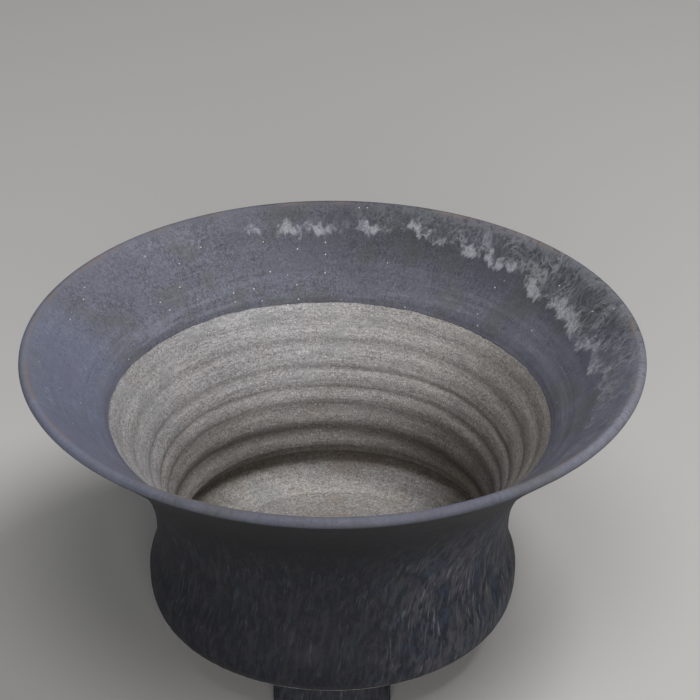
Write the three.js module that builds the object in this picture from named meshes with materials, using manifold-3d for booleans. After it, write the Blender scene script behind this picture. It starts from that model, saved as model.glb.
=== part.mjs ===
// A round stoneware flower pot with a wide trumpet rim and a narrow neck.
// A thrown collar is luted to a short bulged drum, which stands on a base slab with one drain
// hole and three luted feet. Coils of clay are pressed into the two inside seams.
// Millimetres, +Z up. The origin is on the resting plane, under the middle of the pot.

import * as THREE from 'three';
import { mergeVertices } from 'three/addons/utils/BufferGeometryUtils.js';
import Module from 'manifold-3d';

// Heights of the stacked pieces, from the resting plane upwards
const footHeight = 16;
const slabThickness = 10;
const drumHeight = 20;
const collarHeight = 94;

// Rim: the lip is a round bead on the end of the flared wall
const rimRadius = 130;
const lipThickness = 5;
const lipAngle = THREE.MathUtils.degToRad(43);
const innerLipPull = 52;
const outerLipPull = 44;

// Neck: the outside groove and, a little lower, the narrowest place inside
const neckRadius = 75.4;
const neckRise = 8;
const neckPull = 7;
const outerFlarePull = 34;
const throatWall = 8.3;
const throatRise = 4;
const throatPull = 30;
const ledgeRound = 1.5;

// Drum and slab: one bulged outline, rounded under at the heel
const bulgeRadius = 79.6;
const bulgeRise = 15.5;
const bulgePull = 14;
const drumWall = 6.2;
const heelInset = 8.6;
const heelPull = 7;
const heelDrop = 11;

// Throwing ridges inside the collar, as heights above the seam, and how proud they stand
const ridgeHeights = [3.5, 16, 26, 32, 43, 50.5, 57];
const ridgeDepth = 0.8;
const ridgeFade = 5;

// Coils of clay in the inside seams
const seamCoilWidth = 2.2;
const seamCoilHeight = 4;
const cornerCoilSize = 14;
const cornerCoilEdge = 0.6;
const coilGap = 0.3;

// Drain hole
const drainRadius = 13;
const drainSoftening = 1.5;

// Feet, cut as short arcs of a ring
const footCount = 3;
const footWidth = 15;
const footLength = 48;
const footInset = 0.5;
const soleRound = 2;

// Fineness of the turned surfaces
const turnSegments = 72;
const curveSteps = 6;

// Heights that follow from the stack
const slabBottom = footHeight;
const floorTop = slabBottom + slabThickness;
const seamHeight = floorTop + drumHeight;
const rimTop = seamHeight + collarHeight;

// Radii that follow from the neck and the bulge
const throatRadius = neckRadius - throatWall;
const undersideRadius = bulgeRadius - heelInset;

// Fired finishes
const darkSlip = { color: 0x2b2d33, roughness: 0.72, metalness: 0.05 };
const bareClay = { color: 0x7d766c, roughness: 0.92, metalness: 0 };

const wasm = await Module();
wasm.setup();

// A point of a turned outline: distance from the axis, then height
function point(radius, height) {
  return new THREE.Vector2(radius, height);
}

// Samples a cubic curve from start to end that leaves and arrives along the given handles
function curvePoints(start, startHandle, endHandle, end, steps) {
  return new THREE.CubicBezierCurve(start, startHandle, endHandle, end).getPoints(steps);
}

// Samples an arc of a circle between two angles, in radians
function arcPoints(centre, radius, startAngle, endAngle, steps) {
  const clockwise = endAngle < startAngle;
  const arc = new THREE.EllipseCurve(
    centre.x, centre.y, radius, radius, startAngle, endAngle, clockwise);
  return arc.getPoints(steps);
}

// The point of a rising outline at a height, found between its neighbours
function pointAt(outline, height) {
  const last = outline.length - 1;
  const upper = Math.max(1, outline.findIndex((p, i) => p.y >= height || i === last));
  const below = outline[upper - 1];
  const above = outline[upper];
  const share = (height - below.y) / (above.y - below.y);
  return point(THREE.MathUtils.lerp(below.x, above.x, share), height);
}

// The stretch of a rising outline between two heights, ends included
function stretch(outline, low, high) {
  const inside = outline.filter((p) => p.y > low && p.y < high);
  return [pointAt(outline, low), ...inside, pointAt(outline, high)];
}

// Where the flared wall meets the round lip, on its inner (+1) or outer (-1) side
function lipTangent(side) {
  const centre = lipCentre();
  const radius = lipThickness / 2;
  return point(
    centre.x - side * radius * Math.sin(lipAngle),
    centre.y + side * radius * Math.cos(lipAngle));
}

function lipCentre() {
  return point(rimRadius - lipThickness / 2, rimTop - lipThickness / 2);
}

// The handle that makes a flare arrive at the lip along the lip's angle
function lipHandle(end, pull) {
  return point(end.x - pull * Math.cos(lipAngle), end.y - pull * Math.sin(lipAngle));
}

// The outside of the whole pot, rising from the slab's underside to the lip
function outsideOutline() {
  const heel = point(undersideRadius, slabBottom);
  const bulge = point(bulgeRadius, slabBottom + bulgeRise);
  const neck = point(neckRadius, seamHeight + neckRise);
  const lip = lipTangent(-1);
  const heelCurve = curvePoints(
    heel, point(heel.x + heelPull, heel.y), point(bulge.x, bulge.y - heelDrop), bulge, curveSteps);
  const shoulder = curvePoints(
    bulge, point(bulge.x, bulge.y + bulgePull), point(neck.x, neck.y - neckPull), neck,
    curveSteps);
  const flare = curvePoints(
    neck, point(neck.x, neck.y + outerFlarePull), lipHandle(lip, outerLipPull), lip,
    2 * curveSteps);
  return [...heelCurve, ...shoulder.slice(1), ...flare.slice(1)];
}

// The inside of the collar without its ridges, rising from the throat to the lip
function smoothFlare() {
  const throat = point(throatRadius, seamHeight + throatRise);
  const lip = lipTangent(1);
  return curvePoints(
    throat, point(throat.x, throat.y + throatPull), lipHandle(lip, innerLipPull), lip,
    8 * curveSteps);
}

// Samples the ridges: each wave runs from one crest through a hollow to the next crest
function ridgedFlare() {
  const smooth = [point(throatRadius, seamHeight), ...smoothFlare()];
  const ridged = [];
  ridgeHeights.forEach((height, i) => {
    const next = ridgeHeights[i + 1] ?? height + ridgeFade;
    const quarters = i < ridgeHeights.length - 1 ? 4 : 2;
    for (let k = 0; k < quarters; k += 1) {
      const at = pointAt(smooth, seamHeight + height + (next - height) * k / quarters);
      const wave = Math.cos(k * Math.PI / 2);
      ridged.push(point(at.x - ridgeDepth / 2 * wave, at.y));
    }
  });
  return ridged;
}

// The glazed upper flare, from the last ridge to the lip, in even steps
function upperFlare() {
  const smooth = smoothFlare();
  const low = seamHeight + ridgeHeights[ridgeHeights.length - 1] + ridgeFade;
  const high = smooth[smooth.length - 1].y;
  return Array.from({ length: curveSteps + 1 }, (_, i) => (
    pointAt(smooth, THREE.MathUtils.lerp(low, high, i / curveSteps))));
}

// Turns a closed outline, given anticlockwise in (radius, height), about the upright axis
function turned(outline) {
  const geometry = new THREE.LatheGeometry([...outline, outline[0]], turnSegments);
  geometry.rotateX(Math.PI / 2);
  return positionsOnly(geometry);
}

// Keeps only positions and merges the vertices that lie together
function positionsOnly(geometry) {
  geometry.deleteAttribute('normal');
  geometry.deleteAttribute('uv');
  return mergeVertices(geometry);
}

function toSolid(geometry) {
  return new wasm.Manifold(new wasm.Mesh({
    numProp: 3,
    vertProperties: new Float32Array(geometry.attributes.position.array),
    triVerts: new Uint32Array(geometry.index.array),
  }));
}

function toGeometry(solid) {
  const mesh = solid.getMesh();
  const geometry = new THREE.BufferGeometry();
  geometry.setAttribute('position', new THREE.BufferAttribute(mesh.vertProperties, 3));
  geometry.setIndex(new THREE.BufferAttribute(mesh.triVerts, 1));
  return geometry;
}

function piece(name, geometry, finish) {
  geometry.computeVertexNormals();
  const mesh = new THREE.Mesh(geometry, new THREE.MeshStandardMaterial(finish));
  mesh.name = name;
  return mesh;
}

// The thrown trumpet: ledge, ridged bare wall, flare, round lip and outside down to the seam
function flaredCollar(outside) {
  const outer = stretch(outside, seamHeight, lipTangent(-1).y);
  const bead = [
    ...arcPoints(lipCentre(), lipThickness / 2, lipAngle - Math.PI / 2, 0, 2),
    ...arcPoints(lipCentre(), lipThickness / 2, 0, Math.PI / 2, 3).slice(1),
    ...arcPoints(lipCentre(), lipThickness / 2, Math.PI / 2, Math.PI / 2 + lipAngle, 2).slice(1),
  ];
  const inner = [...ridgedFlare(), ...upperFlare()].reverse();
  const ledge = arcPoints(
    point(throatRadius + ledgeRound, seamHeight + ledgeRound), ledgeRound,
    Math.PI, 1.5 * Math.PI, 2);
  return turned([...outer, ...bead.slice(1, -1), ...inner, ...ledge]);
}

// How far back a coil reaches: clear of the drum's wall at every height that the coil spans
function coilBack(outside, low, high) {
  const narrowest = Math.min(...stretch(outside, low, high).map((p) => p.x));
  return narrowest - drumWall - coilGap;
}

// The bulged wall between the slab and the seam, of one thickness all the way up
function bodyDrum(outside) {
  const outer = stretch(outside, floorTop, seamHeight);
  const inner = outer.map((p) => point(p.x - drumWall, p.y)).reverse();
  return turned([...outer, ...inner]);
}

// The small half-round coil pressed up under the collar's ledge
function seamCoil(outside) {
  const low = seamHeight - seamCoilHeight;
  const back = coilBack(outside, low, seamHeight);
  const front = back - seamCoilWidth;
  const third = seamCoilHeight / 3;
  return turned([
    point(back, low),
    point(back, seamHeight),
    point(front + third / 2, seamHeight),
    point(front, seamHeight - third),
    point(front, low + third),
    point(front + third / 2, low),
  ]);
}

// Where the corner coil ends on the floor and the bare flat floor begins
function cornerCoilToe(outside) {
  return coilBack(outside, floorTop, floorTop + cornerCoilSize) - cornerCoilSize;
}

// The coil smoothed into the corner between the floor and the drum, hollow on its face
function cornerCoil(outside) {
  const toe = cornerCoilToe(outside);
  const back = toe + cornerCoilSize;
  const sweep = cornerCoilSize - cornerCoilEdge;
  const centre = point(toe, floorTop + cornerCoilSize);
  const hollow = arcPoints(centre, sweep, 0, -Math.PI / 2, 2 * curveSteps);
  return turned([
    point(back, floorTop),
    point(back, floorTop + cornerCoilSize),
    ...hollow,
    point(toe, floorTop),
  ]);
}

// The base slab: rounded heel, flat floor and a drain hole with softened edges
function baseSlab(outside) {
  const heel = stretch(outside, slabBottom, floorTop);
  return turned([
    ...heel,
    point(cornerCoilToe(outside), floorTop),
    point(drainRadius + drainSoftening, floorTop),
    point(drainRadius, floorTop - drainSoftening),
    point(drainRadius, slabBottom + drainSoftening),
    point(drainRadius + drainSoftening, slabBottom),
  ]);
}

// One foot: a short arc of a ring with round ends, a rounded sole and a flat top
function foot() {
  const middle = undersideRadius - footInset - footWidth / 2;
  const half = footWidth / 2 - soleRound;
  const reach = (footLength - footWidth) / 2 / middle;
  const plan = new THREE.Shape();
  const end = point(middle * Math.cos(reach), middle * Math.sin(reach));
  plan.absarc(0, 0, middle + half, -reach, reach, false);
  plan.absarc(end.x, end.y, half, reach, reach + Math.PI, false);
  plan.absarc(0, 0, middle - half, reach, -reach, true);
  plan.absarc(end.x, -end.y, half, Math.PI - reach, 2 * Math.PI - reach, false);
  const block = new THREE.ExtrudeGeometry(plan, {
    depth: footHeight,
    curveSegments: curveSteps,
    bevelThickness: soleRound,
    bevelSize: soleRound,
    bevelSegments: 2,
  });
  block.translate(0, 0, soleRound);
  const cutter = new THREE.BoxGeometry(2 * rimRadius, 2 * rimRadius, footHeight);
  cutter.translate(0, 0, 1.5 * footHeight);
  return toGeometry(toSolid(positionsOnly(block)).subtract(toSolid(positionsOnly(cutter))));
}

function flowerPot() {
  const outside = outsideOutline();
  const pot = new THREE.Group();
  pot.add(
    piece('flared_collar', flaredCollar(outside), darkSlip),
    piece('seam_coil', seamCoil(outside), bareClay),
    piece('body_drum', bodyDrum(outside), darkSlip),
    piece('corner_coil', cornerCoil(outside), bareClay),
    piece('base_slab', baseSlab(outside), bareClay));
  for (let i = 0; i < footCount; i += 1) {
    const mesh = piece(`foot_${i + 1}`, foot(), darkSlip);
    mesh.rotation.z = -Math.PI / 2 + i * 2 * Math.PI / footCount;
    pot.add(mesh);
  }
  return pot;
}

export default flowerPot();
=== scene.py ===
"""Stoneware flower pot: the fine surfaces of a pot that was thrown and luted by hand.

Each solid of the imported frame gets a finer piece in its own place. Its outline is turned about
the pot's axis, then the marks of the work are pressed into the mesh: the spiral that the
fingertip leaves inside, the step at the glaze's edge, the pressed coils and a little wobble.
Metres, +Z up, -Y towards the viewer. A bearing is the angle from the back, +Y, clockwise as
seen from above.
"""

import logging
import math
from collections.abc import Callable
from dataclasses import dataclass, field
from enum import Enum
from functools import cache

import bmesh
import bpy
from mathutils import Euler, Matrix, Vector, noise
from mathutils.geometry import interpolate_bezier


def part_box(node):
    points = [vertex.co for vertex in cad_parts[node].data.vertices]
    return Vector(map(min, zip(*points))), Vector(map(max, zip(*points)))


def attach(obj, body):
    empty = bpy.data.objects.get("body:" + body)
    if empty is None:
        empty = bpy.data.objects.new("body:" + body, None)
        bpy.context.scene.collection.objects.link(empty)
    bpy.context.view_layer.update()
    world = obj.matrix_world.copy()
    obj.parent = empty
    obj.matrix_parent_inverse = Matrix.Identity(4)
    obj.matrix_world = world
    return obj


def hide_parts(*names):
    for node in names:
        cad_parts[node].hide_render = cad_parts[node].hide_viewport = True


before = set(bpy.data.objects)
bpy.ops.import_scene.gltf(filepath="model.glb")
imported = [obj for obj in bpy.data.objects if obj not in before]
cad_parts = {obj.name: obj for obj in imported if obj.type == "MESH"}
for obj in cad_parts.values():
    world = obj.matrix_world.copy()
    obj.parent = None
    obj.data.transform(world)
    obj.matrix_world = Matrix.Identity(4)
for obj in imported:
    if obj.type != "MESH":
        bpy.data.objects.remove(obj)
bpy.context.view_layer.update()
BODY = "root"

log = logging.getLogger("flower_pot")

Colour = tuple[float, float, float]
Span = tuple[float, float]

ALL_GLAZE = 0.05
ALL_CLAY = -0.05
NO_BLOOM = -0.05


class Slot(Enum):
    """The material slots."""

    DARK_SLIP = "dark_slip"
    BARE_CLAY = "bare_clay"


class Skin(Enum):
    """The kind of surface that a stretch of a turned outline makes."""

    OUTSIDE = 1
    LIP = 2
    FLARE = 3
    WALL = 4
    COIL = 5
    FLOOR = 6
    UNDERSIDE = 7
    HIDDEN = 8


def smooth_step(value: float, none: float, full: float) -> float:
    """Eases from 0 at none to 1 at full, of which either may be the larger.

    Args:
        value: The number that is placed between the two.
        none: Where the result is still 0.
        full: Where the result becomes 1.

    Returns:
        A number from 0 to 1.
    """
    share = min(1.0, max(0.0, (value - none) / (full - none)))
    return share * share * (3 - 2 * share)


def between(stops: list[tuple[float, float]], value: float) -> float:
    """Reads a line through stops, and goes on past its ends at the last slope.

    Args:
        stops: Pairs of where and what, with where rising.
        value: Where to read the line.

    Returns:
        The line's height there.
    """
    upper = next((i for i, stop in enumerate(stops) if stop[0] >= value), len(stops) - 1)
    upper = max(1, upper)
    (low_at, low), (high_at, high) = stops[upper - 1], stops[upper]
    return low + (high - low) * (value - low_at) / (high_at - low_at)


def turned_noise(bearing: float, height: float, around: float, up: float) -> float:
    """Smooth noise on a turned surface, without a seam at the front.

    Args:
        bearing: Angle from the back, in radians.
        height: Height or distance along the outline, in metres.
        around: About how many swells there are in a turn, over six.
        up: Swells in each metre of height.

    Returns:
        A number from about -1 to 1.
    """
    place = Vector((math.sin(bearing) * around, math.cos(bearing) * around, height * up))
    return noise.noise(place)


def flat_bump(bearing: float, middle: float, spread: float) -> float:
    """Gives a flat-topped bump round the pot.

    Args:
        bearing: Angle from the back, in radians.
        middle: The bump's own bearing, in degrees.
        spread: How far it reaches to each side, in degrees.

    Returns:
        A number that is 1 at the middle and falls to 0.
    """
    off = (math.degrees(bearing) - middle + 180) % 360 - 180
    return math.exp(-((off / spread) ** 4))


@dataclass(frozen=True)
class Levels:
    """Heights and radii that several pieces share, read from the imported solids."""

    slab_under: float
    floor_top: float
    seam: float
    rim_top: float
    rim_radius: float
    bulge_radius: float
    heel_radius: float
    coil_toe: float
    coil_top: float
    seam_coil_front: float
    seam_coil_low: float

    @classmethod
    def from_frame(cls) -> "Levels":
        """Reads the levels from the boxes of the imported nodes.

        Returns:
            The levels that the pieces are shaped to.
        """
        collar_low, collar_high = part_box("flared_collar")
        _, drum_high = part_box("body_drum")
        slab_low, slab_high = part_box("base_slab")
        coil_low, coil_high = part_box("corner_coil")
        seam_low, seam_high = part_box("seam_coil")
        heel_inset = 0.0086
        seam_coil_width = 0.0022
        corner_coil_size = coil_high.z - coil_low.z
        return cls(
            slab_under=slab_low.z,
            floor_top=slab_high.z,
            seam=collar_low.z,
            rim_top=collar_high.z,
            rim_radius=collar_high.x,
            bulge_radius=drum_high.x,
            heel_radius=drum_high.x - heel_inset,
            coil_toe=coil_high.x - corner_coil_size,
            coil_top=coil_high.z,
            seam_coil_front=seam_high.x - seam_coil_width,
            seam_coil_low=seam_low.z,
        )


def cubic(start: Vector, leave: Vector, arrive: Vector, end: Vector) -> list[Vector]:
    """Samples a cubic curve finely.

    Args:
        start: First point, as radius and height.
        leave: Handle that the curve leaves along.
        arrive: Handle that the curve arrives along.
        end: Last point.

    Returns:
        Points from start to end.
    """
    fineness = 240
    lifted = [point.to_3d() for point in (start, leave, arrive, end)]
    return [point.to_2d() for point in interpolate_bezier(*lifted, fineness)]


def polar(length: float, degrees: float) -> Vector:
    """Gives a step of some length, at an angle up from straight out."""
    turn = math.radians(degrees)
    return length * Vector((math.cos(turn), math.sin(turn)))


def arc(centre: Vector, radius: float, first: float, last: float, steps: int) -> list[Vector]:
    """Samples an arc of a circle.

    Args:
        centre: Middle of the circle, as radius and height.
        radius: The circle's own radius.
        first: Angle of the first point, in degrees.
        last: Angle of the last point, in degrees.
        steps: Number of equal steps between them.

    Returns:
        Points from the first angle to the last.
    """
    angles = [first + (last - first) * i / steps for i in range(steps + 1)]
    return [centre + polar(radius, angle) for angle in angles]


def evenly(points: list[Vector], spacing: float) -> list[Vector]:
    """Walks a line and sets points on it at equal distances, ends included.

    Args:
        points: The line.
        spacing: About how far apart the new points are.

    Returns:
        The new points.
    """
    reached = [0.0]
    for before, after in zip(points, points[1:]):
        reached.append(reached[-1] + (after - before).length)
    count = max(1, round(reached[-1] / spacing))
    across = [(far, point.x) for far, point in zip(reached, points)]
    upward = [(far, point.y) for far, point in zip(reached, points)]
    distances = [reached[-1] * i / count for i in range(count + 1)]
    return [Vector((between(across, far), between(upward, far))) for far in distances]


def length_of(points: list[Vector]) -> float:
    """Adds up the length of a line."""
    return sum((after - before).length for before, after in zip(points, points[1:]))


def cut_at(points: list[Vector], height: float) -> tuple[list[Vector], list[Vector]]:
    """Cuts a rising line in two at a height.

    Args:
        points: The line, rising.
        height: Where to cut it.

    Returns:
        The lower part and the upper part, which share the point of the cut.
    """
    place = Vector((between([(p.y, p.x) for p in points], height), height))
    lower = [p for p in points if p.y < height]
    upper = [p for p in points if p.y > height]
    return [*lower, place], [place, *upper]


@dataclass
class Run:
    """A smooth part of a closed outline, between two flat faces that touch neighbours.

    An outline is walked anticlockwise in radius and height, so the clay is on the left hand.
    Distances along the pot count up from the glaze's edge inside, over the lip and down the
    outside, and so they fall on the way round an outline.
    """

    start_along: float
    skins: list[Skin] = field(default_factory=list)
    points: list[Vector] = field(default_factory=list)

    def add(self, points: list[Vector], skin: Skin) -> None:
        """Goes on along more points, of which the first may repeat the last one."""
        meets = bool(self.points) and (points[0] - self.points[-1]).length < 1e-6
        fresh = points[1:] if meets else points
        self.points.extend(fresh)
        self.skins.extend([skin] * len(fresh))

    def leans(self) -> list[Vector]:
        """Finds which way each point's surface faces, level at the two ends.

        Returns:
            Unit directions, as radius and height.
        """
        facing = []
        last = len(self.points) - 1
        for i in range(last + 1):
            way = self.points[min(i + 1, last)] - self.points[max(i - 1, 0)]
            facing.append(Vector((way.y, -way.x)).normalized())
        for end in (0, last):
            facing[end] = Vector((math.copysign(1.0, facing[end].x), 0.0))
        return facing

    def distances(self) -> list[float]:
        """Measures how far along the pot's outline each point is.

        Returns:
            Distances in metres, counted down from start_along.
        """
        reached = [self.start_along]
        for before, after in zip(self.points, self.points[1:]):
            reached.append(reached[-1] - (after - before).length)
        return reached


@dataclass(frozen=True)
class HandWobble:
    """How far the whole pot is from a perfect turned shape."""

    seam: float
    rim_top: float
    out_of_round: float = 0.0002
    rim_roll: float = 0.0002
    rim_sink: float = 0.0004
    front_sink: float = 0.0005

    def shift(self, place: Vector) -> Vector:
        """Gives the wobble at a place, the same for every piece that meets there.

        Args:
            place: A point of any piece.

        Returns:
            How far the point moves.
        """
        bearing = math.atan2(place.x, place.y)
        rise = max(0.0, (place.z - self.seam) / (self.rim_top - self.seam))
        sideways = self.out_of_round * turned_noise(bearing, place.z, 1.1, 14)
        upward = self.rim_roll * turned_noise(bearing, 0.4, 1.6, 1) - self.rim_sink
        upward -= self.front_sink * (1 - math.cos(bearing)) / 2
        outward = Vector((place.x, place.y, 0)).normalized()
        return outward * sideways + Vector((0, 0, upward * rise * rise))


@dataclass(frozen=True)
class Ridge:
    """One turn of the throwing spiral: its height at the back, and the groove's own shape."""

    height: float
    depth: float
    width: float
    swell: float


@dataclass(frozen=True, eq=False)
class ThrowingSpiral:
    """The groove that a fingertip leaves as it climbs the wall, one turn for each ridge.

    The groove falls as the bearing grows, so it drops by one ridge in a full turn.
    """

    ridges: tuple[Ridge, ...] = (
        Ridge(0.0546, 0.00085, 0.0022, 0.00034),
        Ridge(0.0668, 0.00040, 0.0024, 0.00023),
        Ridge(0.0747, 0.00052, 0.0010, 0.00018),
        Ridge(0.0825, 0.00062, 0.0009, 0.00019),
        Ridge(0.0925, 0.00040, 0.0014, 0.00019),
        Ridge(0.1002, 0.00022, 0.0018, 0.00014),
        Ridge(0.1075, 0.00010, 0.0020, 0.00009),
        Ridge(0.1145, 0.00014, 0.0020, 0.00012),
        Ridge(0.1220, 0.00004, 0.0020, 0.00003),
    )
    pitch: float = 0.0085
    steep_side: float = 0.75
    gentle_side: float = 1.3
    waver: float = 0.09
    quick_waver: float = 0.4
    fine_line: float = 0.00011

    @cache
    def _at_height(self, height: float) -> tuple[float, float, float, float]:
        """Reads the turn count, groove depth, groove width and swell at a height."""
        first, last = self.ridges[0].height, self.ridges[-1].height
        inside = min(last, max(first, height))
        count = between([(ridge.height, turn) for turn, ridge in enumerate(self.ridges)], height)
        depth = between([(ridge.height, ridge.depth) for ridge in self.ridges], inside)
        width = between([(ridge.height, ridge.width) for ridge in self.ridges], inside)
        swell = between([(ridge.height, ridge.swell) for ridge in self.ridges], inside)
        return count, depth, width, swell

    def mark(self, bearing: float, height: float) -> tuple[float, float]:
        """Works out the relief and the groove's shade at a point of the wall.

        Args:
            bearing: Angle from the back, in radians.
            height: Height above the sole.

        Returns:
            How far the surface stands proud, and how deep in a groove it is from 0 to 1.
        """
        count, depth, width, swell = self._at_height(height)
        drift = turned_noise(bearing, height, 1.3, 30)
        drift += self.quick_waver * turned_noise(bearing, height, 6, 55)
        turn = count + bearing / math.tau + self.waver * drift
        off = turn - round(turn)
        width *= self.steep_side if off > 0 else self.gentle_side
        groove = math.exp(-((off * self.pitch / width) ** 2))
        wave = -math.cos(math.tau * off) * swell
        lines = self.fine_line * turned_noise(bearing, height, 2.2, 620)
        deepest = max(ridge.depth for ridge in self.ridges)
        return wave + lines - groove * depth, groove * depth / deepest


@dataclass(frozen=True, eq=False)
class GlazeLine:
    """The edge of the dipped glaze on the inside, a little lower on the right."""

    tilt: float = 0.0020
    tilt_bearing: float = math.radians(100)
    slow_waver: float = 0.0005
    quick_waver: float = 0.0003
    jags: float = 0.00022
    thickness: float = 0.00022
    shoulder: float = 0.0006
    fade: float = 0.018

    @cache
    def rise(self, bearing: float) -> float:
        """Says how far the edge lies above its mean place, in metres along the wall."""
        slow = self.slow_waver * turned_noise(bearing, 0.2, 3, 1)
        quick = self.quick_waver * turned_noise(bearing, 0.6, 14, 1)
        jagged = self.jags * turned_noise(bearing, 0.9, 48, 1)
        return -self.tilt * math.cos(bearing - self.tilt_bearing) + slow + quick + jagged

    def step(self, glazed_by: float) -> float:
        """Says how far the glaze's edge stands proud at a distance inside it."""
        edge = smooth_step(glazed_by, 0.0, self.shoulder)
        return self.thickness * edge * smooth_step(glazed_by, self.fade, self.shoulder)


@dataclass(frozen=True)
class BloomPatch:
    """One puff of pale bloom on the flare.

    The bearing and the spread are in degrees, and the drop is how far below the lip its tips
    hang, in metres.
    """

    bearing: float
    spread: float
    strength: float
    drop: float


@dataclass(frozen=True, eq=False)
class Bloom:
    """Pale salts that dried on the glaze in hanging puffs below the lip."""

    patches: tuple[BloomPatch, ...] = (
        BloomPatch(-180, 9.0, 0.20, 0.0180),
        BloomPatch(-104, 9.0, 0.34, 0.0120),
        BloomPatch(-78, 7.0, 0.22, 0.0120),
        BloomPatch(-33, 5.0, 0.45, 0.0135),
        BloomPatch(-18, 2.0, 0.72, 0.0115),
        BloomPatch(-10.5, 3.0, 0.98, 0.0158),
        BloomPatch(-3, 3.6, 0.88, 0.0152),
        BloomPatch(8, 3.8, 0.84, 0.0146),
        BloomPatch(18, 4.5, 0.72, 0.0112),
        BloomPatch(24, 2.0, 0.60, 0.0142),
        BloomPatch(32, 3.6, 0.80, 0.0165),
        BloomPatch(37, 1.4, 0.85, 0.0140),
        BloomPatch(40, 1.8, 0.80, 0.0185),
        BloomPatch(43, 1.8, 0.75, 0.0172),
        BloomPatch(51, 4.0, 0.95, 0.0225),
        BloomPatch(59, 2.8, 0.75, 0.0208),
        BloomPatch(63, 2.2, 0.70, 0.0222),
        BloomPatch(68, 3.6, 0.90, 0.0256),
        BloomPatch(76, 3.0, 0.62, 0.0282),
        BloomPatch(80, 2.4, 0.62, 0.0210),
        BloomPatch(85, 2.4, 0.75, 0.0265),
        BloomPatch(91, 3.6, 0.68, 0.0205),
        BloomPatch(99, 4.0, 0.60, 0.0235),
        BloomPatch(110, 5.0, 0.50, 0.0240),
        BloomPatch(124, 6.0, 0.45, 0.0220),
        BloomPatch(150, 9.0, 0.25, 0.0190),
        BloomPatch(180, 9.0, 0.20, 0.0180),
    )
    frost_bearing: float = 68.0
    frost_spread: float = 58.0
    frost_least: float = 0.22

    @cache
    def power(self, bearing: float) -> float:
        """Adds up the puffs at a bearing, given in radians."""
        total = 0.0
        for patch in self.patches:
            off = math.degrees(bearing) - patch.bearing
            total += patch.strength * math.exp(-((off / patch.spread) ** 2))
        return min(1.0, total)

    @cache
    def frost(self, bearing: float) -> float:
        """Says how strong the fine streaks above the tips are at a bearing, in radians."""
        near = flat_bump(bearing, self.frost_bearing, self.frost_spread)
        return self.frost_least + (1 - self.frost_least) * near

    @cache
    def drop(self, bearing: float) -> float:
        """Says how far below the lip the tips reach at a bearing, in radians."""
        stops = [(patch.bearing, patch.drop) for patch in self.patches]
        return between(stops, math.degrees(bearing))


@dataclass(frozen=True)
class Fade:
    """Part of a mark that comes and goes round the pot, and up it or out across its floor.

    Each span leads from where there is none of it to where it is full: bearings in degrees, and
    places in metres of height or of radius.
    """

    amount: float
    bearings: tuple[Span, ...] = ()
    places: tuple[Span, ...] = ()

    def at(self, bearing: float, place: float) -> float:
        """Reads the part at a place.

        Args:
            bearing: Angle from the back, in radians.
            place: Height above the sole, or radius on the floor.

        Returns:
            Its share of the mark.
        """
        share = self.amount
        for span in self.bearings:
            share *= smooth_step(math.degrees(bearing), *span)
        for span in self.places:
            share *= smooth_step(place, *span)
        return share


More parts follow.
